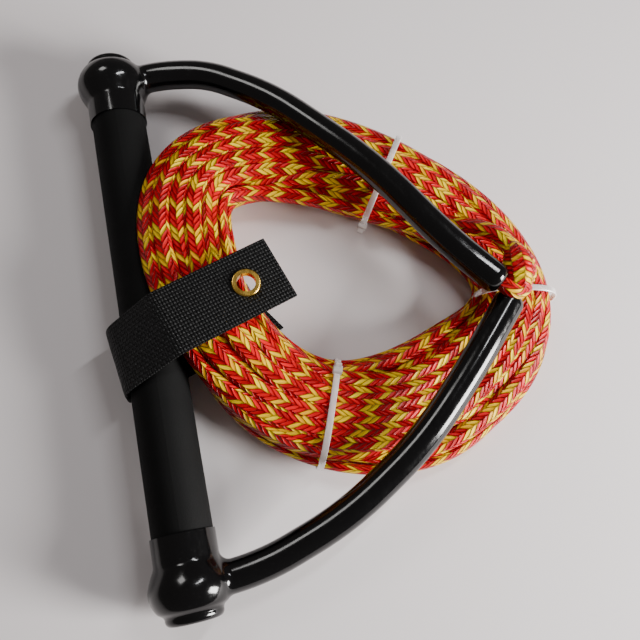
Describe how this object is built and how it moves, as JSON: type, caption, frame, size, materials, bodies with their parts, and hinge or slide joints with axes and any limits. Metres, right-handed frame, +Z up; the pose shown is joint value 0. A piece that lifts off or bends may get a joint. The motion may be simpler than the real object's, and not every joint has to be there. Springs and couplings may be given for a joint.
{
  "type": "tow rope handle",
  "caption": "Padded tow bar between two moulded arms with stopper caps, its braided line coiled and tied beside it under a webbing strap with a hanging eyelet.",
  "frame": {"origin": "on the ground under the middle of the handle's footprint, from the strap's bend round the bar to the apex splice", "axes": "+Y along the bar, +X from the bar to the apex where the arms meet, +Z up"},
  "size_m": [0.2722, 0.334, 0.0636],
  "materials": {
    "tube": "satin",
    "grip": "fine matt",
    "arm": "gloss",
    "nylon_black": "matt",
    "rope": "red and yellow braid",
    "nylon_natural": "translucent natural",
    "webbing": "black weave",
    "brass": "bright",
    "closure": "hook and loop"
  },
  "bodies": {
    "bundle": {"rope_coil": "rope", "rope_lead": "rope", "tie_top": "nylon_natural", "tie_right": "nylon_natural", "tie_bottom": "nylon_natural", "strap_web": "webbing", "loop_patch": "closure"},
    "yoke": {"arm_upper": "arm", "arm_lower": "arm", "bridle_upper": "rope", "bridle_lower": "rope", "apex_splice": "rope"},
    "bar": {"core_tube": "tube", "grip_sleeve": "grip", "plug_upper": "nylon_black", "plug_lower": "nylon_black"},
    "flap": {"strap_flap": "webbing", "eyelet": "brass", "eyelet_washer": "brass", "hook_patch": "closure"}
  },
  "joints": [
    {"name": "yoke_swing", "type": "hinge", "parent": "bundle", "child": "yoke", "pos_m": [-0.09366, 0, 0.0215], "axis": [0, -1, 0], "range_deg": [0, 8]},
    {"name": "bar_roll", "type": "hinge", "parent": "yoke", "child": "bar", "pos_m": [-0.09366, 0, 0.0215], "axis": [0, 1, 0], "continuous": true},
    {"name": "flap_peel", "type": "hinge", "parent": "bundle", "child": "flap", "pos_m": [-0.06132, -0.01189, 0.0526], "axis": [0.309, -0.9511, 0], "range_deg": [0, 100]}
  ]
}
